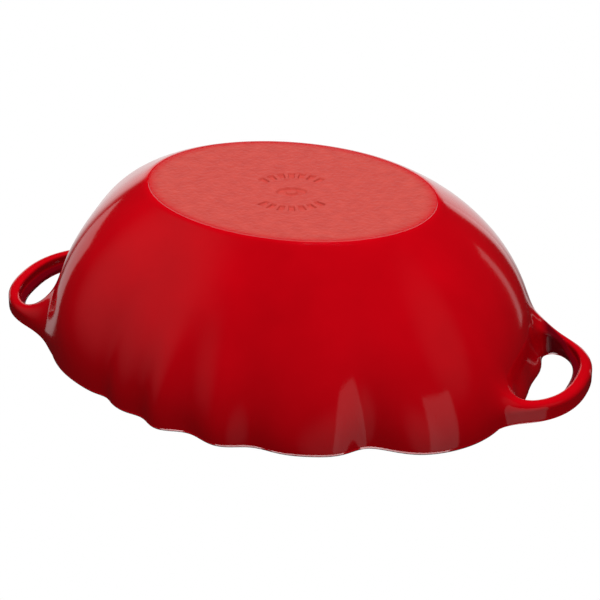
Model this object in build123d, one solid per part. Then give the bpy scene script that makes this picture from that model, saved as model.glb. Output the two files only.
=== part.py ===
from build123d import *

import math
import os

# A tomato-shaped casserole pot in enamelled cast iron, with two loop handles.
# Lengths are millimetres and angles are degrees. The pot stands upright, the origin is the
# middle of its flat base, X runs along the line through both handles and +Z is up.

# Body
HEIGHT = 86.7
RIM_HALF_LENGTH = 126.0
RIM_HALF_WIDTH = 118.2
BASE_HALF_LENGTH = 76.2
BASE_HALF_WIDTH = 57.3
BASE_TURN = 1.4
WALL = 3.6
FLOOR = 5.0
FLOOR_ROUND = 6.0

# The wall's curve from base to rim, on the front and on the back, and how much it gains at +X
FRONT_FULLNESS = 1.64
BACK_FULLNESS = 2.88
SIDE_FULLNESS = 0.25

# Enamel and lip
BASE_COAT = 0.8
LIP = 1.4
LIP_STEP = 0.15
LIP_ROUND = 0.6

# The tomato's broad swells: direction, height and spread
SWELLS = (
    (-151.0, 12.4, 19.0),
    (-101.0, -4.8, 32.0),
    (-56.0, -8.9, 17.0),
    (24.0, 16.2, 15.0),
)

# The furrows between its lobes: direction, depth at the rim and spread
FURROWS = (
    (-130.6, 9.0, 6.4),
    (-101.4, 5.0, 6.6),
    (-83.2, 7.8, 7.0),
    (-68.6, 4.5, 4.9),
    (-54.0, 2.0, 3.3),
    (48.0, 7.0, 6.0),
    (69.0, 5.0, 5.5),
    (90.0, 6.5, 6.0),
    (112.0, 5.0, 5.5),
    (136.0, 6.0, 6.0),
)
FURROW_START = 0.22
FURROW_RISE = 1.37

# Handles. A pair gives a measure on the arm at negative Y and on the arm at positive Y.
HANDLE_TIP = 157.5
HANDLE_SHIFT = 1.7
HANDLE_HALF_SPAN = 37.2
HANDLE_CENTRE = 118.0
HANDLE_ROOT = 98.0
HANDLE_ROUNDNESS = 2.3
HANDLE_DROP = 1.0
GRIP_OUTER = 4.7
GRIP_HEIGHT = 10.0
ARM_HEIGHT = (9.6, 10.6)
BEAD_INNER = 1.9
ARM_BEAD_INNER = (-0.7, 1.5)
LEDGE_WIDTH = 3.8
ARM_LEDGE_WIDTH = 1.8
LEDGE_HEIGHT = 4.6
LEAST_STEP = 1.6

# Growth of a handle's section at its two roots, and where it is full and how far it reaches
OUTER_FLARE = (22.0, 9.0)
INNER_FLARE = (12.0, 6.0)
DEPTH_FLARE = (12.0, 6.0)
OUTER_REACH = (104.0, 17.0)
INNER_REACH = (120.0, 9.0)
DEPTH_REACH = (118.0, 12.0)
LEDGE_REACH = (126.0, 8.0)

# Rounding of the grip's long edges, and how its lower outer edge softens at the two roots
TOP_ROUND = 2.2
BOTTOM_ROUND = 3.0
LEDGE_ROUND = 1.4
STEP_SHARE = 0.35
LEDGE_SHARE = 0.4
ROOT_RISE = (15.0, 7.0)
ROOT_SPREAD = (20.0, 9.0)
SPREAD_REACH = (112.0, 14.0)

# Half the distance, in millimetres and in degrees, over which the surface's slope is measured
PROBE = 0.5

# Fineness of the free-form surfaces
OUTLINE_POINTS = 116
OUTLINE_CROWDING = 14.0
WALL_BANDS = 8
ROUND_STEPS = 3
LOOP_BANDS = 26


def angle_between(one, other):
    """Signed difference of two directions, in degrees."""
    return (one - other + 180.0) % 360.0 - 180.0


def bump(direction, centre, spread):
    """A smooth bell, 1 at its centre."""
    return math.exp(-((angle_between(direction, centre) / spread) ** 2))


def ellipse(direction, half_length, half_width):
    """Radius of an ellipse about its centre."""
    turn = math.radians(direction)
    return 1.0 / math.hypot(math.cos(turn) / half_length, math.sin(turn) / half_width)


def furrow_weight(share):
    """How deep the furrows are at a share of the height."""
    if share <= FURROW_START:
        return 0.0
    return ((share - FURROW_START) / (1.0 - FURROW_START)) ** FURROW_RISE


def outer_radius(direction, z):
    """Distance of the pot's outside from its axis, at a height above the base."""
    share = min(max(z / HEIGHT, 0.0), 1.0)
    base = ellipse(direction - BASE_TURN, BASE_HALF_LENGTH, BASE_HALF_WIDTH)
    rim = ellipse(direction, RIM_HALF_LENGTH, RIM_HALF_WIDTH)
    rim += sum(height * bump(direction, at, spread) for at, height, spread in SWELLS)
    furrow = sum(depth * bump(direction, at, spread) for at, depth, spread in FURROWS)
    middle = (FRONT_FULLNESS + BACK_FULLNESS) / 2.0
    swing = (BACK_FULLNESS - FRONT_FULLNESS) / 2.0
    turn = math.radians(direction)
    fullness = middle + swing * math.sin(turn) + SIDE_FULLNESS * math.cos(turn)
    spread = 1.0 - (1.0 - share) ** fullness
    return base + (rim - base) * spread - furrow * furrow_weight(share)


def inset_radius(direction, z, inset):
    """The same radius, moved inwards square to the surface."""
    radius = outer_radius(direction, z)
    if inset == 0.0:
        return radius
    low = max(z - PROBE, 0.0)
    high = min(z + PROBE, HEIGHT)
    climb = (outer_radius(direction, high) - outer_radius(direction, low)) / (high - low)
    around = outer_radius(direction + PROBE, z) - outer_radius(direction - PROBE, z)
    around /= radius * math.radians(2.0 * PROBE)
    return radius - inset * math.sqrt(1.0 + climb**2 + around**2)


def crowded(even):
    """Directions that lie closer together at the front and the back, where the furrows are."""
    return even + OUTLINE_CROWDING * math.sin(math.radians(2.0 * even))


def outline(z, inset, extra=0.0):
    """The pot's closed outline at one height."""
    points = []
    for step in range(OUTLINE_POINTS):
        direction = crowded(360.0 * step / OUTLINE_POINTS)
        radius = inset_radius(direction, z, inset) - extra
        turn = math.radians(direction)
        points.append((radius * math.cos(turn), radius * math.sin(turn), z))
    return make_face(Polyline(*points, close=True))


def between(bottom, top, bands):
    """Evenly spaced values, both ends among them."""
    return [bottom + (top - bottom) * step / bands for step in range(bands + 1)]


def bowl(inset, heights):
    """The solid inside the pot's outline, through a list of heights."""
    return loft([outline(z, inset) for z in heights], ruled=True)


def outside_heights():
    """Heights at which the outside is drawn, with the lip's seat among them."""
    return between(BASE_COAT, HEIGHT - LIP, WALL_BANDS) + [HEIGHT]


def cavity():
    """The space inside the wall, with a rounded corner round the floor."""
    corner = []
    for step in range(ROUND_STEPS):
        turn = math.radians(90.0 * step / ROUND_STEPS)
        z = FLOOR + FLOOR_ROUND * (1.0 - math.cos(turn))
        corner.append(outline(z, WALL, FLOOR_ROUND * (1.0 - math.sin(turn))))
    side = [outline(z, WALL) for z in between(FLOOR + FLOOR_ROUND, HEIGHT, WALL_BANDS)]
    return loft(corner + side, ruled=True)


def lip_blank():
    """The top of the wall, drawn in a little at its upper edge."""
    seat = HEIGHT - LIP
    return loft([outline(seat, 0.0, LIP_STEP), outline(HEIGHT, 0.0, LIP_ROUND)], ruled=True)


def pot_wall():
    """The cast wall and floor, red outside."""
    return bowl(0.0, outside_heights()[:-1]) - cavity()


def rim_lip():
    """The bare band that closes the wall at the top."""
    return lip_blank() - bowl(WALL - LIP_STEP, [HEIGHT - 2.0 * LIP, HEIGHT])


def base_coat():
    """The rough coat on the flat underside."""
    disc = Ellipse(BASE_HALF_LENGTH, BASE_HALF_WIDTH, rotation=BASE_TURN)
    return extrude(disc, BASE_COAT)


def flare(reach, x):
    """A bell over the distance from the pot's axis, full up to the first measure."""
    full, fade = reach
    return math.exp(-((max(x - full, 0.0) / fade) ** 2))


def sided(pair, side):
    """A measure that differs between the two arms, for a place from -1 to 1 along the loop."""
    return pair[0] + (pair[1] - pair[0]) * (side + 1.0) / 2.0


def mixed(at_tip, at_arm, arm):
    """A measure that changes from the loop's tip to its arms."""
    return at_tip + (at_arm - at_tip) * arm


def loop_station(place):
    """Point and outward direction on the handle's middle line, at a place from -1 to 1."""
    reach = HANDLE_TIP - GRIP_OUTER - HANDLE_CENTRE
    turn = place * math.pi / 2.0
    along = abs(math.cos(turn))
    across = abs(math.sin(turn))
    power = 2.0 / HANDLE_ROUNDNESS
    x = HANDLE_CENTRE + reach * along**power
    y = math.copysign(HANDLE_HALF_SPAN * across**power, place)
    out_x = along ** (2.0 - power) / reach
    out_y = math.copysign(across ** (2.0 - power) / HANDLE_HALF_SPAN, place)
    size = math.hypot(out_x, out_y)
    return x, y, out_x / size, out_y / size


def towards(start, end):
    """Direction from one point to another."""
    size = math.dist(start, end)
    return (end[0] - start[0]) / size, (end[1] - start[1]) / size


def corner_arc(before, corner, after, radii):
    """Points on the quarter ellipse that rounds a right-angled corner."""
    back_x, back_y = towards(corner, before)
    on_x, on_y = towards(corner, after)
    points = []
    for step in range(ROUND_STEPS + 1):
        turn = math.radians(90.0 * step / ROUND_STEPS)
        back = radii[0] * (1.0 - math.sin(turn))
        on = radii[1] * (1.0 - math.cos(turn))
        points.append((corner[0] + back * back_x + on * on_x, corner[1] + back * back_y + on * on_y))
    return points


def rounded(corners, rounds):
    """A right-angled outline with each corner rounded in short steps."""
    after = corners[1:] + corners[:1]
    points = []
    for place, corner in enumerate(corners):
        points += corner_arc(corners[place - 1], corner, after[place], rounds[place])
    return points


def grip_corners(x, side):
    """The L-shaped section's corners, from its upper outer corner round to its upper inner one."""
    arm = side**2
    outer = GRIP_OUTER + sided(OUTER_FLARE, side) * flare(OUTER_REACH, x)
    step = -mixed(BEAD_INNER, sided(ARM_BEAD_INNER, side), arm)
    step -= sided(INNER_FLARE, side) * flare(INNER_REACH, x)
    inner = step - mixed(LEDGE_WIDTH, ARM_LEDGE_WIDTH, arm)
    bottom = -mixed(GRIP_HEIGHT, sided(ARM_HEIGHT, side), arm)
    bottom -= sided(DEPTH_FLARE, side) * flare(DEPTH_REACH, x)
    ledge = mixed(-LEDGE_HEIGHT, bottom + LEAST_STEP, flare(LEDGE_REACH, x))
    return [(outer, 0), (outer, bottom), (step, bottom), (step, ledge), (inner, ledge), (inner, 0)]


def grip_section(x, y, out_x, out_y):
    """The section of the loop, wider and deeper where it meets the wall."""
    side = y / HANDLE_HALF_SPAN
    corners = grip_corners(x, side)
    rise = BOTTOM_ROUND + sided(ROOT_RISE, side) * flare(DEPTH_REACH, x)
    spread = BOTTOM_ROUND + sided(ROOT_SPREAD, side) * flare(SPREAD_REACH, x)
    step_rise = STEP_SHARE * (corners[3][1] - corners[2][1])
    step_width = LEDGE_SHARE * (corners[3][0] - corners[4][0])
    rounds = [
        (TOP_ROUND, TOP_ROUND),
        (rise, spread),
        (LEDGE_ROUND, step_rise),
        (step_rise, step_width),
        (step_width, LEDGE_ROUND),
        (LEDGE_ROUND, LEDGE_ROUND),
    ]
    top = HEIGHT - HANDLE_DROP
    plane = Plane(origin=(x, y, top), x_dir=(out_x, out_y, 0.0), z_dir=(out_y, -out_x, 0.0))
    return plane * make_face(Polyline(*rounded(corners, rounds), close=True))


def handle_blank():
    """The whole loop, running on into the wall at both roots."""
    places = between(-1.0, 1.0, LOOP_BANDS)
    stations = [loop_station(place) for place in places]
    middle = (HANDLE_ROOT + HANDLE_CENTRE) / 2.0
    before = [(x, -HANDLE_HALF_SPAN, 0.0, -1.0) for x in (HANDLE_ROOT, middle)]
    after = [(x, HANDLE_HALF_SPAN, 0.0, 1.0) for x in (middle, HANDLE_ROOT)]
    return loft([grip_section(*station) for station in before + stations + after], ruled=True)


def handle(turn):
    """One handle, cut to the outside of the wall."""
    blank = Pos(0.0, HANDLE_SHIFT, 0.0) * handle_blank()
    return Rot(0.0, 0.0, turn) * blank - bowl(0.0, outside_heights())


def write(shape, name):
    """Saves one solid under its node's name."""
    export_step(shape, os.path.join("parts", name + ".step"))


os.makedirs("parts", exist_ok=True)

write(pot_wall(), "pot_wall")
write(rim_lip(), "rim_lip")
write(base_coat(), "base_coat")
write(handle(0.0), "handle_right")
write(handle(180.0), "handle_left")
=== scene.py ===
import math

import bpy
import numpy as np
from mathutils import Matrix, Vector


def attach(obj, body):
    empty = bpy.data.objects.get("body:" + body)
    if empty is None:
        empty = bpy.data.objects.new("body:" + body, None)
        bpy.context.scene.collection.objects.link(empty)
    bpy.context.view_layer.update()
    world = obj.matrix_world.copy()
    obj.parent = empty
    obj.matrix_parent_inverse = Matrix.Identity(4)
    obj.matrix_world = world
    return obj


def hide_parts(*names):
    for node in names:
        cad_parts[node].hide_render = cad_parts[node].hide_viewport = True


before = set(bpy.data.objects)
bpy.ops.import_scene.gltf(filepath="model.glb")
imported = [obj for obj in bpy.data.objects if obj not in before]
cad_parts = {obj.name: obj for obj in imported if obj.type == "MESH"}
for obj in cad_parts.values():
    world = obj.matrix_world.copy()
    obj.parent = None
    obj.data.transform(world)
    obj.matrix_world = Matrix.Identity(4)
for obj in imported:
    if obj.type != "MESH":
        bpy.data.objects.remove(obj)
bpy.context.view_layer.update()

# A tomato-shaped casserole pot in red enamelled cast iron. The pot stands upright in its own
# frame. The camera looks at it from below and upside down, which shows it resting on its rim.

MM = 0.001
# Name of the point attribute that holds painted shade on the handles' recesses and a deep red at
# the base's edge
PAINTED_SHADE_AND_EDGE_RED = "painted_shade_and_edge_red"

# Body, in millimetres and degrees
HEIGHT = 86.7
RIM_HALF_LENGTH = 126.0
RIM_HALF_WIDTH = 118.1
BASE_HALF_LENGTH = 76.2
BASE_HALF_WIDTH = 57.3
BASE_TURN = 1.4
WALL = 3.6
FLOOR = 5.0
FRONT_FULLNESS = 1.64
BACK_FULLNESS = 2.88
SIDE_FULLNESS = 0.25
SWELLS = (
    (-151.0, 12.4, 19.0),
    (-101.0, -4.8, 32.0),
    (-56.0, -8.9, 17.0),
    (24.0, 16.2, 15.0),
)
FURROWS = (
    (-130.6, 9.0, 6.4),
    (-101.4, 5.0, 6.6),
    (-83.2, 7.8, 7.0),
    (-68.6, 4.5, 4.9),
    (-54.0, 2.0, 3.3),
    (48.0, 7.0, 6.0),
    (69.0, 5.0, 5.5),
    (90.0, 6.5, 6.0),
    (112.0, 5.0, 5.5),
    (136.0, 6.0, 6.0),
)
FURROW_START = 0.22
FURROW_RISE = 1.37

# Edges of the enamel zones
LIP = 0.8
LIP_CURVE = 0.9
EDGE_REACH = 1.4
EDGE_RISE = 1.6
EDGE_GLOSS = 0.9
EDGE_STEPS = 5
LIP_STEPS = 6

# Lining, and the unseen middle of the wall and floor where the enamel zones close
FLOOR_CORNER = 6.0
FLOOR_SHARE = 0.93
CLOSING_MARGIN = 10.0
CLOSING_LEVEL = 2.0
LINING_LEVEL = 2.5
LINING_SHARE = 0.9

# Fineness of the meshes
AROUND = 1080
UP_STEPS = 64
LINING_STEPS = 50
CLOSING_STEPS = 8
LINING_CLOSING_STEPS = 10
BASE_RINGS = 170
BASE_SMALLEST = 0.004
LOOP_POINTS = 721
ROOT_STEP = 0.5
CHUNK = 8192

# Distances over which slopes are measured, in millimetres and in degrees
SLOPE_UP = 0.5
SLOPE_AROUND = 0.5
WALL_SLOPE_AROUND = 0.25
FIELD_SLOPE = 0.02
FIELD_ROUNDS = 4
LEAST_SLOPE = 0.25

# What is kept of a handle's mesh: above the wall by this much, and inside the blend
KEEP_ABOVE_WALL = -0.25
KEEP_BLEND = 0.96
KEEP_WEB = 0.02

# Handles, in millimetres, with the pot's axis at x = 0 and a handle's tip on its x axis. Pairs
# give a measure on the arm at negative y and on the arm at positive y. A reach is the distance
# from the axis up to which a growth is full, and how fast it fades. The shifts along y are those
# of the handle at +X (1) and of the one at -X (-1). A web's row is its middle, spread and depth.
HANDLE_TIP = 157.5
HANDLE_SHIFTS = {1.0: 2.2, -1.0: 0.8}
HANDLE_HALF_SPAN = 37.6
HANDLE_CENTRE = 118.0
HANDLE_INNERMOST = 84.0
HANDLE_ROUNDNESS = 2.3
HANDLE_TOP = 85.7
GRIP_OUTER = 4.7
GRIP_HEIGHT = 10.0
ARM_HEIGHT = (9.6, 10.6)
BEAD_INNER = 1.9
ARM_BEAD_INNER = (-0.7, 1.5)
LEDGE_WIDTH = 3.8
ARM_LEDGE_WIDTH = 1.8
LEDGE_HEIGHT = 4.6
OUTER_FLARE = (14.5, 6.5)
INNER_FLARE = (7.0, 3.0)
DEPTH_FLARE = (9.0, 4.0)
ROOT_RISE = (14.0, 6.0)
ROOT_SPREAD = (16.0, 7.0)
OUTER_REACH = (104.0, 17.0)
INNER_REACH = (120.0, 9.0)
DEPTH_REACH = (118.0, 12.0)
SPREAD_REACH = (112.0, 14.0)
LEDGE_FULL = (133.0, 126.0)
LEDGE_FADE = 7.0
WEBS = ((-17.0, 17.0, 3.8), (17.0, 14.0, 2.4))
WEB_FADE = 9.0
TOP_ROUND = 2.2
HOLE_ROUND = 4.0
BOTTOM_ROUND = 3.0
LEDGE_ROUND = 1.3
STEP_ROUND = 1.4
# Painted shade on the recessed inner side of each handle: where it starts, how fast it fades, how
# deep it reaches beside the loop, its clearance from the wall and its reach from the axis
SHADE_START = 0.6
SHADE_FADE = 1.2
SHADE_DEPTH = 8.5
SHADE_CLEAR = 3.5
SHADE_REACH = (112.0, 6.0)
BLEND = 15.0
TOP_BLEND = 1.2
NET_STEP = 0.7
NET_LOW = (92.0, -82.0, 54.0)
NET_HIGH = (159.6, 82.0, 87.4)

# Sunken mark on the base
MARK_X = -1.0
MARK_Y = -2.6
MARK_TURN = -21.5
MARK_RADIUS = 19.5
MARK_PITCH = 15.0
MARK_BARS = 7
MARK_HALF_LENGTH = 2.4
MARK_HALF_WIDTH = 1.2
MARK_OVAL = 1.5
MARK_OVAL_SIZE = 3.4
MARK_SLOPE = 0.6
MARK_DEPTH = 0.9

# Camera
VIEW_TURN = -21.5
VIEW_RISE = -27.5
VIEW_DISTANCE = 1.2
VIEW_TARGET = Vector((-0.0143, -0.0344, 0.0430))
VIEW_LENS = 145.45
SENSOR = 36.0
AXIS_SHIFT = 7.0 / 600.0


def angle_between(one, other):
    """Signed difference of two directions, in degrees."""
    return (one - other + 180.0) % 360.0 - 180.0


def ellipse(direction, half_length, half_width):
    """Radius of an ellipse about its centre."""
    turn = np.radians(direction)
    return 1.0 / np.hypot(np.cos(turn) / half_length, np.sin(turn) / half_width)


def bells(direction, rows):
    """Sum of smooth bells around the pot."""
    total = np.zeros_like(direction)
    for at, height, spread in rows:
        total = total + height * np.exp(-((angle_between(direction, at) / spread) ** 2))
    return total


def outer_radius(direction, z):
    """Distance of the pot's outside from its axis."""
    share = np.clip(z / HEIGHT, 0.0, 1.0)
    base = ellipse(direction - BASE_TURN, BASE_HALF_LENGTH, BASE_HALF_WIDTH)
    rim = ellipse(direction, RIM_HALF_LENGTH, RIM_HALF_WIDTH) + bells(direction, SWELLS)
    middle = (FRONT_FULLNESS + BACK_FULLNESS) / 2.0
    swing = (BACK_FULLNESS - FRONT_FULLNESS) / 2.0
    turn = np.radians(direction)
    fullness = middle + swing * np.sin(turn) + SIDE_FULLNESS * np.cos(turn)
    spread = 1.0 - (1.0 - share) ** fullness
    weight = (np.clip(share - FURROW_START, 0.0, 1.0) / (1.0 - FURROW_START)) ** FURROW_RISE
    return base + (rim - base) * spread - bells(direction, FURROWS) * weight


def slope_factor(direction, z):
    """Length of the surface's gradient, for moving square to it."""
    span = 2.0 * SLOPE_UP
    low = np.clip(z - SLOPE_UP, 0.0, HEIGHT - span)
    climb = (outer_radius(direction, low + span) - outer_radius(direction, low)) / span
    around = outer_radius(direction + SLOPE_AROUND, z) - outer_radius(direction - SLOPE_AROUND, z)
    around = around / (outer_radius(direction, z) * math.radians(2.0 * SLOPE_AROUND))
    return np.sqrt(1.0 + climb**2 + around**2)


def ring(direction, z, inset):
    """Points around the pot at one height, moved inwards."""
    heights = np.full_like(direction, z)
    radius = outer_radius(direction, heights) - inset * slope_factor(direction, heights)
    turn = np.radians(direction)
    return np.stack([radius * np.cos(turn), radius * np.sin(turn), heights], axis=-1)


def new_piece(name, points, faces, node, smooth=True):
    """A mesh object in metres that rides on the pot's one body."""
    mesh = bpy.data.meshes.new(name)
    mesh.from_pydata((np.asarray(points) * MM).tolist(), [], faces)
    mesh.validate()
    mesh.update()
    if smooth:
        mesh.polygons.foreach_set("use_smooth", [True] * len(mesh.polygons))
    piece = bpy.data.objects.new(name, mesh)
    bpy.context.scene.collection.objects.link(piece)
    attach(piece, "root")
    if node:
        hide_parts(node)
    return piece


def paint(piece, values):
    """Store how far each point has gone over to its material's second colour, from 0 to 1: painted
    shade on the handles' recesses, and a deep red at the base's edge.
    """
    layer = piece.data.attributes.new(PAINTED_SHADE_AND_EDGE_RED, "FLOAT", "POINT")
    layer.data.foreach_set("value", np.asarray(values, dtype=np.float32))


def band_faces(rows, around, closed):
    """Quads between rings of equal length, and on from the last ring to the first if closed."""
    faces = []
    last = rows if closed else rows - 1
    for row in range(last):
        this = row * around
        following = ((row + 1) % rows) * around
        for step in range(around):
            after = (step + 1) % around
            faces.append((this + step, this + after, following + after, following + step))
    return faces


def loop_piece(name, rings, node):
    """A closed band round the pot from a loop of rings."""
    faces = band_faces(len(rings), len(rings[0]), True)
    return new_piece(name, np.concatenate(rings), faces, node)


AROUND_DIRECTIONS = np.arange(AROUND) * 360.0 / AROUND


def edge_rings():
    """The rounded edge between the flat base and the wall."""
    flat = ring(AROUND_DIRECTIONS, 0.0, 0.0)
    inner = flat.copy()
    size = np.linalg.norm(flat[:, :2], axis=1, keepdims=True)
    inner[:, :2] *= (size - EDGE_REACH) / size
    raised = ring(AROUND_DIRECTIONS, EDGE_RISE, 0.0)
    rings = []
    for step in range(EDGE_STEPS):
        share = step / EDGE_STEPS
        rings.append((1 - share) ** 2 * inner + 2 * share * (1 - share) * flat + share**2 * raised)
    return rings


def outside():
    """The red wall, from the base's edge to the lip."""
    rings = edge_rings()
    for z in np.linspace(EDGE_RISE, HEIGHT - LIP, UP_STEPS):
        rings.append(ring(AROUND_DIRECTIONS, z, 0.0))
    rings.append(ring(AROUND_DIRECTIONS, HEIGHT - LIP, WALL / 2.0))
    for z in np.linspace(HEIGHT - CLOSING_MARGIN, CLOSING_MARGIN, CLOSING_STEPS):
        rings.append(ring(AROUND_DIRECTIONS, z, WALL / 2.0))
    back = edge_rings()[0]
    back[:, 2] = CLOSING_LEVEL
    rings.append(back)
    return loop_piece("outside", rings, "pot_wall")


def lip_curve(step, side):
    """One ring of the lip's rounded edge, on the outer side (0) or on the inner side (1)."""
    turn = step / LIP_STEPS * math.pi / 2.0
    inset = LIP_CURVE * (1.0 - math.cos(turn))
    if side:
        inset = WALL - inset
    return ring(AROUND_DIRECTIONS, HEIGHT - LIP + LIP * math.sin(turn), inset)


def lip():
    """The dark rounded lip."""
    rings = [lip_curve(step, 0) for step in range(LIP_STEPS + 1)]
    rings += [lip_curve(step, 1) for step in range(LIP_STEPS, -1, -1)]
    return loop_piece("lip", rings, "rim_lip")


def inside():
    """The black lining of the wall and floor."""
    rings = []
    for z in np.linspace(HEIGHT - LIP, FLOOR + FLOOR_CORNER, LINING_STEPS):
        rings.append(ring(AROUND_DIRECTIONS, z, WALL))
    corner = rings[-1]
    floor_edge = ring(AROUND_DIRECTIONS, FLOOR + 0.001, WALL)
    inner = floor_edge.copy()
    inner[:, :2] *= FLOOR_SHARE
    inner[:, 2] = FLOOR
    for step in range(1, 7):
        share = step / 6
        sharp = 2 * share * (1 - share) * floor_edge
        rings.append((1 - share) ** 2 * corner + sharp + share**2 * inner)
    for share in (0.8, 0.6, 0.4, 0.2, 0.05):
        flat = inner.copy()
        flat[:, :2] *= share
        rings.append(flat)
    under = rings[-1].copy()
    under[:, 2] = LINING_LEVEL
    rings.append(under)
    wide = edge_rings()[0]
    wide[:, :2] *= LINING_SHARE
    wide[:, 2] = LINING_LEVEL
    rings.append(wide)
    for z in np.linspace(CLOSING_MARGIN, HEIGHT - LIP, LINING_CLOSING_STEPS):
        rings.append(ring(AROUND_DIRECTIONS, z, WALL / 2.0))
    return loop_piece("inside", rings, None)


def mark_depth(x, y):
    """Depth of the sunken mark: two arcs of short plain bars and a small oval between them."""
    turn = math.radians(MARK_TURN)
    across = (x - MARK_X) * math.cos(turn) + (y - MARK_Y) * math.sin(turn)
    along = (y - MARK_Y) * math.cos(turn) - (x - MARK_X) * math.sin(turn)
    radius = np.hypot(across, along)
    angle = np.degrees(np.arctan2(across, along))
    depth = np.zeros_like(radius)
    for middle in (0.0, 180.0):
        for number in range(MARK_BARS):
            at = middle + (number - (MARK_BARS - 1) / 2.0) * MARK_PITCH
            off = np.radians(angle_between(angle, at)) * MARK_RADIUS
            beyond = np.abs(radius - MARK_RADIUS) - MARK_HALF_LENGTH
            bar = np.maximum(np.abs(off) - MARK_HALF_WIDTH, beyond)
            depth = np.maximum(depth, 1.0 - np.clip(bar / MARK_SLOPE, 0.0, 1.0))
    oval = np.abs(np.hypot(across / MARK_OVAL, along) - MARK_OVAL_SIZE) - MARK_HALF_WIDTH
    depth = np.maximum(depth, 1.0 - np.clip(oval / MARK_SLOPE, 0.0, 1.0))
    return MARK_DEPTH * depth * depth * (3.0 - 2.0 * depth)


def base_face():
    """The flat rough underside, with its sunken mark."""
    rings = []
    rim = edge_rings()[0]
    shares = np.linspace(1.0, BASE_SMALLEST, BASE_RINGS)
    for share in shares:
        flat = rim.copy()
        flat[:, :2] *= share
        flat[:, 2] = mark_depth(flat[:, 0], flat[:, 1])
        rings.append(flat)
    under = rings[-1].copy()
    under[:, 2] = CLOSING_LEVEL
    rings.append(under)
    wide = rim.copy()
    wide[:, 2] = CLOSING_LEVEL
    rings.append(wide)
    piece = loop_piece("base_face", rings, "base_coat")
    edge = np.clip((np.append(shares, [1.0, 1.0]) - EDGE_GLOSS) / (1.0 - EDGE_GLOSS), 0.0, 1.0)
    paint(piece, np.repeat(edge**2, AROUND))
    return piece


def flare(reach, x):
    """A bell over the distance from the pot's axis, full up to its first measure."""
    full, fade = reach
    return np.exp(-((np.maximum(x - full, 0.0) / fade) ** 2))


def sided(pair, side):
    """A measure that differs between the two arms, for a place from -1 to 1 along the loop."""
    return pair[0] + (pair[1] - pair[0]) * (side + 1.0) / 2.0


def loop_line():
    """Points along the middle line of a handle, seen from above."""
    turn = np.linspace(-1.0, 1.0, LOOP_POINTS) * math.pi / 2.0
    power = 2.0 / HANDLE_ROUNDNESS
    reach = HANDLE_TIP - GRIP_OUTER - HANDLE_CENTRE
    x = HANDLE_CENTRE + reach * np.abs(np.cos(turn)) ** power
    y = HANDLE_HALF_SPAN * np.sign(turn) * np.abs(np.sin(turn)) ** power
    root = np.arange(HANDLE_INNERMOST, HANDLE_CENTRE, ROOT_STEP)
    side = np.full_like(root, HANDLE_HALF_SPAN)
    line_x = np.concatenate([root, x[1:-1], root[::-1]])
    line_y = np.concatenate([-side, y[1:-1], side])
    return np.stack([line_x, line_y], axis=-1)


LOOP = loop_line()
LOOP_SPANS = LOOP[1:] - LOOP[:-1]


def nearest_span(plan):
    """For each point, the number of the loop line's nearest span."""
    found = np.empty(len(plan), dtype=int)
    for start in range(0, len(plan), CHUNK):
        part = plan[start : start + CHUNK].astype(np.float32)
        gap = (part[:, None, 0] - LOOP[None, :, 0].astype(np.float32)) ** 2
        gap += (part[:, None, 1] - LOOP[None, :, 1].astype(np.float32)) ** 2
        found[start : start + CHUNK] = np.argmin(gap, axis=1)
    return found


def from_line(plan, near):
    """Signed distance outwards from the loop's middle line, and the nearest point on it."""
    best = None
    for shift in (-1, 0):
        span = np.clip(near + shift, 0, len(LOOP_SPANS) - 1)
        step = LOOP_SPANS[span]
        lead = plan - LOOP[span]
        share = np.sum(lead * step, axis=-1) / np.sum(step * step, axis=-1)
        share = np.clip(share, 0.0, 1.0)
        foot = LOOP[span] + step * share[..., None]
        gap = np.linalg.norm(plan - foot, axis=-1)
        side = np.sign(lead[..., 0] * step[..., 1] - lead[..., 1] * step[..., 0])
        found = (gap, side, foot[..., 0], foot[..., 1])
        if best is None:
            best = found
        else:
            closer = gap < best[0]
            best = tuple(np.where(closer, new, old) for new, old in zip(found, best))
    return best[0] * best[1], best[2], best[3]


def round_max(one, other, radius):
    """The larger of two distances, with the corner between them rounded."""
    corner = np.hypot(np.maximum(one + radius, 0.0), np.maximum(other + radius, 0.0))
    return np.minimum(np.maximum(one, other), -radius) + corner


def soft_min(one, other, reach):
    """The smaller of two distances, with a smooth fillet where they are alike."""
    share = np.maximum(reach - np.abs(one - other), 0.0) / reach
    return np.minimum(one, other) - share**3 * reach / 6.0


def grip_distance(out, x, y, z):
    """Distance from the surface of the loop, for a point beside its middle line."""
    down = z - HANDLE_TOP
    side = np.clip(y / HANDLE_HALF_SPAN, -1.0, 1.0)
    arm = side**2
    outer = GRIP_OUTER + sided(OUTER_FLARE, side) * flare(OUTER_REACH, x)
    step = -BEAD_INNER - (sided(ARM_BEAD_INNER, side) - BEAD_INNER) * arm
    step = step - sided(INNER_FLARE, side) * flare(INNER_REACH, x)
    inner = step - LEDGE_WIDTH - (ARM_LEDGE_WIDTH - LEDGE_WIDTH) * arm
    bottom = -GRIP_HEIGHT - (sided(ARM_HEIGHT, side) - GRIP_HEIGHT) * arm
    bottom = bottom - sided(DEPTH_FLARE, side) * flare(DEPTH_REACH, x)
    filled = flare((sided(LEDGE_FULL, side), LEDGE_FADE), x)
    ledge = -LEDGE_HEIGHT + (bottom + LEDGE_HEIGHT) * filled
    recess = -round_max(out - step, down - ledge, STEP_ROUND)
    shape = round_max(recess, inner - out, LEDGE_ROUND)
    shape = round_max(shape, bottom - down, STEP_ROUND)
    shape = round_max(shape, down, HOLE_ROUND)
    spread = BOTTOM_ROUND + sided(ROOT_SPREAD, side) * flare(SPREAD_REACH, x)
    rise = BOTTOM_ROUND + sided(ROOT_RISE, side) * flare(DEPTH_REACH, x)
    least = np.minimum(spread, rise)
    corner = round_max((out - outer) / spread, (bottom - down) / rise, 1.0) * least
    top_corner = round_max(out - outer, down, TOP_ROUND)
    return np.maximum(np.maximum(shape, corner), top_corner)


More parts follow.
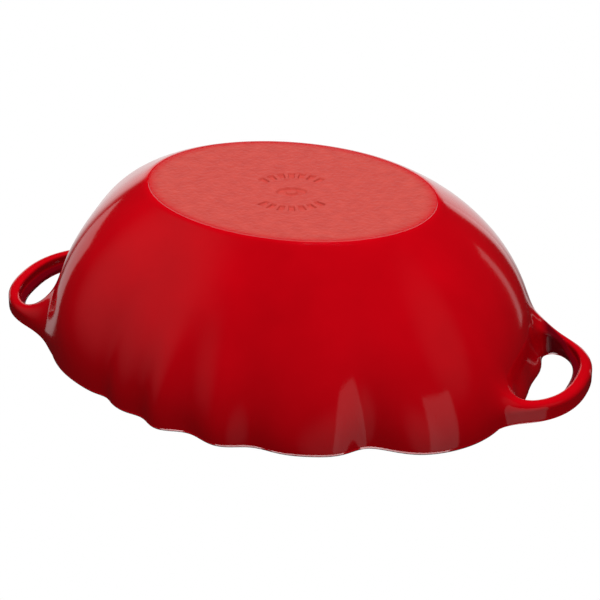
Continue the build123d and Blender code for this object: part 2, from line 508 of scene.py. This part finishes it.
def recess_painted_shade(points, turn):
    """How much painted shade each point gets on the recessed inner side of the loop, from 0 to 1.
    """
    plan = points[:, :2] - np.array([0.0, HANDLE_SHIFTS[turn]])
    out, line_x, line_y = from_line(plan, nearest_span(plan))
    side = np.clip(line_y / HANDLE_HALF_SPAN, -1.0, 1.0)
    step = -BEAD_INNER - (sided(ARM_BEAD_INNER, side) - BEAD_INNER) * side**2
    inner = np.clip((step + SHADE_START - out) / SHADE_FADE, 0.0, 1.0)
    low = np.clip((HANDLE_TOP - SHADE_FADE - points[:, 2]) / SHADE_FADE, 0.0, 1.0)
    beside = np.clip((SHADE_DEPTH + out) / SHADE_FADE, 0.0, 1.0)
    wall = wall_distance(turn * points[:, 0], turn * points[:, 1], points[:, 2])
    clear = np.clip((wall - SHADE_CLEAR) / SHADE_CLEAR, 0.0, 1.0)
    return inner * low * beside * clear * flare(SHADE_REACH, 2.0 * HANDLE_CENTRE - line_x)


def web(y, z):
    """Thickness of the wall's land between the arms of a handle."""
    total = 0.0
    for middle, half, thick in WEBS:
        total = total + thick * np.exp(-(((y - middle) / half) ** 2))
    return total * np.exp(-(((HANDLE_TOP - z) / WEB_FADE) ** 2))


def wall_distance(x, y, z):
    """Distance from the outside of the wall."""
    direction = np.degrees(np.arctan2(y, x))
    radius = outer_radius(direction, z)
    climb = outer_radius(direction, z + SLOPE_UP) - outer_radius(direction, z - SLOPE_UP)
    climb = climb / (2.0 * SLOPE_UP)
    ahead = outer_radius(direction + WALL_SLOPE_AROUND, z)
    around = ahead - outer_radius(direction - WALL_SLOPE_AROUND, z)
    around = around / (radius * math.radians(2.0 * WALL_SLOPE_AROUND))
    return (np.hypot(x, y) - radius) / np.sqrt(1.0 + climb**2 + around**2)


def handle_field(points, near, turn):
    """Distances from the blended handle, from the loop alone and from the wall."""
    x, y, z = points[..., 0], points[..., 1], points[..., 2]
    plan = np.stack([x, y - HANDLE_SHIFTS[turn]], axis=-1)
    out, line_x, line_y = from_line(plan, near)
    grip = grip_distance(out, line_x, line_y, z)
    wall = wall_distance(turn * x, turn * y, z)
    whole = soft_min(grip, wall - web(y, z), BLEND)
    return round_max(whole, z - HANDLE_TOP, TOP_BLEND), grip, wall


def surface_net(field, low, step):
    """Vertices and quads on the zero surface of a field given on a grid."""
    inside = field < 0.0
    cells = tuple(size - 1 for size in field.shape)
    total = np.zeros(cells + (3,))
    count = np.zeros(cells)
    crossings = []
    for axis in range(3):
        start = [slice(None)] * 3
        end = [slice(None)] * 3
        start[axis] = slice(0, -1)
        end[axis] = slice(1, None)
        one, other = field[tuple(start)], field[tuple(end)]
        where = np.argwhere(inside[tuple(start)] != inside[tuple(end)])
        values = one[tuple(where.T)]
        share = values / (values - other[tuple(where.T)])
        place = where.astype(float)
        place[:, axis] += share
        first, second = [other_axis for other_axis in range(3) if other_axis != axis]
        around = []
        for back_one, back_two in ((1, 1), (0, 1), (0, 0), (1, 0)):
            cell = where.copy()
            cell[:, first] -= back_one
            cell[:, second] -= back_two
            around.append(cell)
        stack = np.stack(around)
        good = np.all((stack >= 0) & (stack < np.array(cells)), axis=(0, 2))
        for cell in around:
            valid = np.all((cell >= 0) & (cell < np.array(cells)), axis=1)
            np.add.at(total, tuple(cell[valid].T), place[valid])
            np.add.at(count, tuple(cell[valid].T), 1.0)
        flip = (values < 0.0) != (axis == 1)
        crossings.append((stack[:, good], flip[good]))
    number = np.full(cells, -1)
    used = count > 0
    number[used] = np.arange(np.count_nonzero(used))
    vertices = np.array(low) + step * total[used] / count[used][:, None]
    faces = []
    for stack, flip in crossings:
        quads = np.stack([number[tuple(cell.T)] for cell in stack], axis=-1)
        quads[~flip] = quads[~flip][:, ::-1]
        faces.append(quads)
    return vertices, np.concatenate(faces)


def handle_mesh(turn):
    """Vertices and quads of one handle, turned by its sign about the pot's axis, and the painted
    shade of each vertex.
    """
    axes = [np.arange(low, high, NET_STEP) for low, high in zip(NET_LOW, NET_HIGH)]
    plan_x, plan_y = np.meshgrid(axes[0], axes[1], indexing="ij")
    flat = np.stack([plan_x.ravel(), plan_y.ravel() - HANDLE_SHIFTS[turn]], axis=-1)
    near = nearest_span(flat).reshape(plan_x.shape)
    x, y, z = np.meshgrid(*axes, indexing="ij")
    points = np.stack([x, y, z], axis=-1)
    near = near[:, :, None] + np.zeros(x.shape, dtype=int)
    field = handle_field(points, near, turn)[0]
    vertices, faces = surface_net(field, NET_LOW, NET_STEP)
    for _ in range(FIELD_ROUNDS):
        near = nearest_span(vertices[:, :2] - np.array([0.0, HANDLE_SHIFTS[turn]]))
        value = handle_field(vertices, near, turn)[0]
        slope = np.empty_like(vertices)
        for axis in range(3):
            shift = np.zeros(3)
            shift[axis] = FIELD_SLOPE
            ahead = handle_field(vertices + shift, near, turn)[0]
            behind = handle_field(vertices - shift, near, turn)[0]
            slope[:, axis] = (ahead - behind) / (2.0 * FIELD_SLOPE)
        size = np.maximum(np.sum(slope**2, axis=1), LEAST_SLOPE)
        move = value / size
        vertices = vertices - np.clip(move, -NET_STEP, NET_STEP)[:, None] * slope
    middle = vertices[faces].mean(axis=1)
    near = nearest_span(middle[:, :2] - np.array([0.0, HANDLE_SHIFTS[turn]]))
    _, grip, wall = handle_field(middle, near, turn)
    raised = (grip - wall < KEEP_BLEND * BLEND) | (web(middle[:, 1], middle[:, 2]) > KEEP_WEB)
    keep = (wall > KEEP_ABOVE_WALL) & raised
    faces = faces[keep]
    used = np.unique(faces)
    number = np.zeros(len(vertices), dtype=int)
    number[used] = np.arange(len(used))
    shade = recess_painted_shade(vertices[used], turn)
    vertices = vertices[used] * np.array([turn, turn, 1.0])
    return vertices, number[faces], shade


def node_material(name, dark, light, second, patch, rough, grain, bump):
    """An enamel with faint patches of colour and gloss, a grained surface, and a second colour
    mixed in by a point attribute: painted shade on the handles, a deep red at the base's edge.
    """
    material = bpy.data.materials.new(name)
    material.use_nodes = True
    nodes = material.node_tree.nodes
    links = material.node_tree.links
    shader = nodes["Principled BSDF"]
    place = nodes.new("ShaderNodeTexCoord").outputs["Object"]
    cloud = nodes.new("ShaderNodeTexNoise")
    cloud.inputs["Scale"].default_value = patch
    cloud.inputs["Detail"].default_value = 4.0
    links.new(place, cloud.inputs["Vector"])
    ramp = nodes.new("ShaderNodeValToRGB")
    ramp.color_ramp.elements[0].position = 0.3
    ramp.color_ramp.elements[0].color = (*dark, 1.0)
    ramp.color_ramp.elements[1].position = 0.7
    ramp.color_ramp.elements[1].color = (*light, 1.0)
    links.new(cloud.outputs["Fac"], ramp.inputs["Fac"])
    # How far the second colour is mixed in: painted shade on the handles, a deep red at the base's
    # edge
    shade_and_edge_share = nodes.new("ShaderNodeAttribute")
    shade_and_edge_share.attribute_name = PAINTED_SHADE_AND_EDGE_RED
    blend = nodes.new("ShaderNodeMix")
    blend.data_type = "RGBA"
    blend.inputs[7].default_value = (*second, 1.0)
    links.new(shade_and_edge_share.outputs["Fac"], blend.inputs[0])
    links.new(ramp.outputs["Color"], blend.inputs[6])
    links.new(blend.outputs[2], shader.inputs["Base Color"])
    span = nodes.new("ShaderNodeMapRange")
    span.inputs["To Min"].default_value = rough[0]
    span.inputs["To Max"].default_value = rough[1]
    links.new(cloud.outputs["Fac"], span.inputs["Value"])
    links.new(span.outputs["Result"], shader.inputs["Roughness"])
    peel = nodes.new("ShaderNodeTexNoise")
    peel.inputs["Scale"].default_value = grain
    peel.inputs["Detail"].default_value = 2.0
    links.new(place, peel.inputs["Vector"])
    relief = nodes.new("ShaderNodeBump")
    relief.inputs["Strength"].default_value = bump[0]
    relief.inputs["Distance"].default_value = bump[1]
    links.new(peel.outputs["Fac"], relief.inputs["Height"])
    links.new(relief.outputs["Normal"], shader.inputs["Normal"])
    return material


# The second colour of the red enamel, a dark maroon, is painted shade in the handles' recesses
RED = node_material(
    "red_enamel",
    dark=(0.50, 0.0, 0.004),
    light=(0.60, 0.0, 0.005),
    second=(0.13, 0.0, 0.004),
    patch=22.0,
    rough=(0.07, 0.13),
    grain=260.0,
    bump=(0.05, 0.0004),
)
ROUGH = node_material(
    "rough_red_enamel",
    dark=(0.50, 0.05, 0.04),
    light=(0.57, 0.07, 0.055),
    second=(0.55, 0.0, 0.005),
    patch=160.0,
    rough=(0.42, 0.55),
    grain=420.0,
    bump=(0.7, 0.0007),
)
BLACK = node_material(
    "black_enamel",
    dark=(0.008, 0.008, 0.009),
    light=(0.02, 0.02, 0.021),
    second=(0.01, 0.01, 0.01),
    patch=90.0,
    rough=(0.42, 0.6),
    grain=700.0,
    bump=(0.3, 0.0004),
)

for maker, material in ((outside, RED), (lip, BLACK), (inside, BLACK), (base_face, ROUGH)):
    maker().data.materials.append(material)

# Each handle's recessed inner side gets painted shade, the red enamel's dark maroon second colour
for name, turn in (("right", 1.0), ("left", -1.0)):
    points, faces, shade = handle_mesh(turn)
    piece = new_piece("grip_" + name, points, faces.tolist(), "handle_" + name)
    piece.data.materials.append(RED)
    paint(piece, shade)


CENTRE = Vector((0.0, 0.0, 0.045))


def from_view(azimuth, elevation):
    """A direction seen from the pot: 0 is the camera's side, 90 its right, and up is its up."""
    turn = math.radians(VIEW_TURN)
    right = Vector((-math.cos(turn), -math.sin(turn), 0.0))
    near = Vector((math.sin(turn), -math.cos(turn), 0.0))
    side = math.radians(azimuth)
    rise = math.radians(elevation)
    level = math.sin(side) * right + math.cos(side) * near
    return math.cos(rise) * level - math.sin(rise) * Vector((0.0, 0.0, 1.0))


def softbox(name, azimuth, elevation, distance, width, height, brightness):
    """A rectangular lamp that faces the pot, with its size in metres."""
    data = bpy.data.lights.new(name, "AREA")
    data.shape = "RECTANGLE"
    data.size = width
    data.size_y = height
    data.energy = brightness * math.pi * width * height
    lamp = bpy.data.objects.new(name, data)
    bpy.context.scene.collection.objects.link(lamp)
    back = from_view(azimuth, elevation)
    right = Vector((0, 0, 1)).cross(back).normalized()
    up = back.cross(right)
    axes = Matrix((right, up, back)).transposed().to_4x4()
    lamp.matrix_world = Matrix.Translation(CENTRE + back * distance) @ axes
    lamp.visible_camera = False
    return lamp


over_base = softbox("over_base", 0.0, 87.0, 1.4, 0.5, 0.5, 27.0)
over_base.visible_glossy = False
softbox("over_mouth", 30.0, -84.0, 1.4, 1.0, 1.0, 4.2)
softbox("front_box", 36.0, -8.0, 1.6, 0.9, 1.9, 0.42)
softbox("left_strip", -142.0, -9.0, 1.6, 0.42, 0.75, 0.6)
softbox("right_strip", 152.0, -10.0, 1.6, 0.14, 0.8, 0.6)
softbox("thin_strip", 133.0, -2.0, 1.6, 0.11, 0.6, 0.5)

# Soft pale patches of the studio that only reflections show: azimuth, elevation, the angles
# from its middle where it starts and where it is full, and its brightness
GLOWS = (
    (180.0, -4.0, 27.0, 20.0, 0.85),
    (-88.0, 25.0, 40.0, 5.0, 0.16),
    (68.0, 36.0, 27.0, 5.0, 0.1),
    (10.0, -8.0, 30.0, 8.0, 0.14),
)
AMBIENT = 0.2
DIM = 0.012


def glow(nodes, links, ray, row):
    """A node output with one pale patch's brightness in a ray's direction."""
    azimuth, elevation, start, full, strength = row
    lined = nodes.new("ShaderNodeVectorMath")
    lined.operation = "DOT_PRODUCT"
    links.new(ray, lined.inputs[0])
    lined.inputs[1].default_value = from_view(azimuth, elevation)
    span = nodes.new("ShaderNodeMapRange")
    span.interpolation_type = "SMOOTHSTEP"
    span.inputs["From Min"].default_value = math.cos(math.radians(start))
    span.inputs["From Max"].default_value = math.cos(math.radians(full))
    span.inputs["To Max"].default_value = strength
    links.new(lined.outputs["Value"], span.inputs["Value"])
    return span.outputs["Result"]


def make_world():
    """White for the camera, even for diffuse light and a dim studio with pale patches for gloss."""
    world = bpy.data.worlds.new("studio")
    bpy.context.scene.world = world
    world.use_nodes = True
    nodes = world.node_tree.nodes
    links = world.node_tree.links
    even = nodes["Background"]
    even.inputs["Color"].default_value = (1.0, 1.0, 1.0, 1.0)
    even.inputs["Strength"].default_value = AMBIENT
    ray = nodes.new("ShaderNodeTexCoord").outputs["Generated"]
    total = None
    for row in GLOWS:
        part = glow(nodes, links, ray, row)
        more = nodes.new("ShaderNodeMath")
        more.operation = "ADD"
        links.new(part, more.inputs[0])
        if total is None:
            more.inputs[1].default_value = DIM
        else:
            links.new(total, more.inputs[1])
        total = more.outputs["Value"]
    mirrored = nodes.new("ShaderNodeBackground")
    mirrored.inputs["Color"].default_value = (1.0, 1.0, 1.0, 1.0)
    links.new(total, mirrored.inputs["Strength"])
    seen = nodes.new("ShaderNodeBackground")
    seen.inputs["Color"].default_value = (1.0, 1.0, 1.0, 1.0)
    path = nodes.new("ShaderNodeLightPath")
    gloss = nodes.new("ShaderNodeMixShader")
    links.new(path.outputs["Is Glossy Ray"], gloss.inputs["Fac"])
    links.new(even.outputs["Background"], gloss.inputs[1])
    links.new(mirrored.outputs["Background"], gloss.inputs[2])
    mix = nodes.new("ShaderNodeMixShader")
    links.new(path.outputs["Is Camera Ray"], mix.inputs["Fac"])
    links.new(gloss.outputs["Shader"], mix.inputs[1])
    links.new(seen.outputs["Background"], mix.inputs[2])
    links.new(mix.outputs["Shader"], nodes["World Output"].inputs["Surface"])


make_world()


# The studio's floor, in metres
FLOOR_HALF = 3.0
FLOOR_LEVEL = -0.0004


def make_floor():
    """A pale floor under the upright pot, which a camera below it looks through."""
    mesh = bpy.data.meshes.new("floor")
    signs = ((-1, -1), (1, -1), (1, 1), (-1, 1))
    corners = [(FLOOR_HALF * one, FLOOR_HALF * other, FLOOR_LEVEL) for one, other in signs]
    mesh.from_pydata(corners, [], [(0, 1, 2, 3)])
    material = bpy.data.materials.new("floor")
    material.use_nodes = True
    nodes = material.node_tree.nodes
    links = material.node_tree.links
    shader = nodes["Principled BSDF"]
    shader.inputs["Base Color"].default_value = (0.86, 0.86, 0.86, 1.0)
    shader.inputs["Roughness"].default_value = 0.9
    shader.inputs["Specular IOR Level"].default_value = 0.1
    clear = nodes.new("ShaderNodeBsdfTransparent")
    side = nodes.new("ShaderNodeNewGeometry")
    mix = nodes.new("ShaderNodeMixShader")
    links.new(side.outputs["Backfacing"], mix.inputs["Fac"])
    links.new(shader.outputs["BSDF"], mix.inputs[1])
    links.new(clear.outputs["BSDF"], mix.inputs[2])
    links.new(mix.outputs["Shader"], nodes["Material Output"].inputs["Surface"])
    mesh.materials.append(material)
    floor = bpy.data.objects.new("floor", mesh)
    bpy.context.scene.collection.objects.link(floor)
    floor.visible_diffuse = False
    floor.visible_glossy = False
    floor.visible_transmission = False
    floor.visible_shadow = False


make_floor()


def make_camera():
    turn = math.radians(VIEW_TURN)
    rise = math.radians(VIEW_RISE)
    level = math.cos(rise)
    back = Vector((math.sin(turn) * level, -math.cos(turn) * level, math.sin(rise)))
    right = -Vector((0.0, 0.0, 1.0)).cross(back).normalized()
    up = back.cross(right)
    data = bpy.data.cameras.new("camera")
    data.lens = VIEW_LENS
    data.sensor_width = SENSOR
    data.shift_x = AXIS_SHIFT
    data.clip_start = 0.01
    camera = bpy.data.objects.new("camera", data)
    bpy.context.scene.collection.objects.link(camera)
    axes = Matrix((right, up, back)).transposed().to_4x4()
    camera.matrix_world = Matrix.Translation(VIEW_TARGET + back * VIEW_DISTANCE) @ axes
    bpy.context.scene.camera = camera


make_camera()
bpy.context.scene.view_settings.view_transform = "Standard"
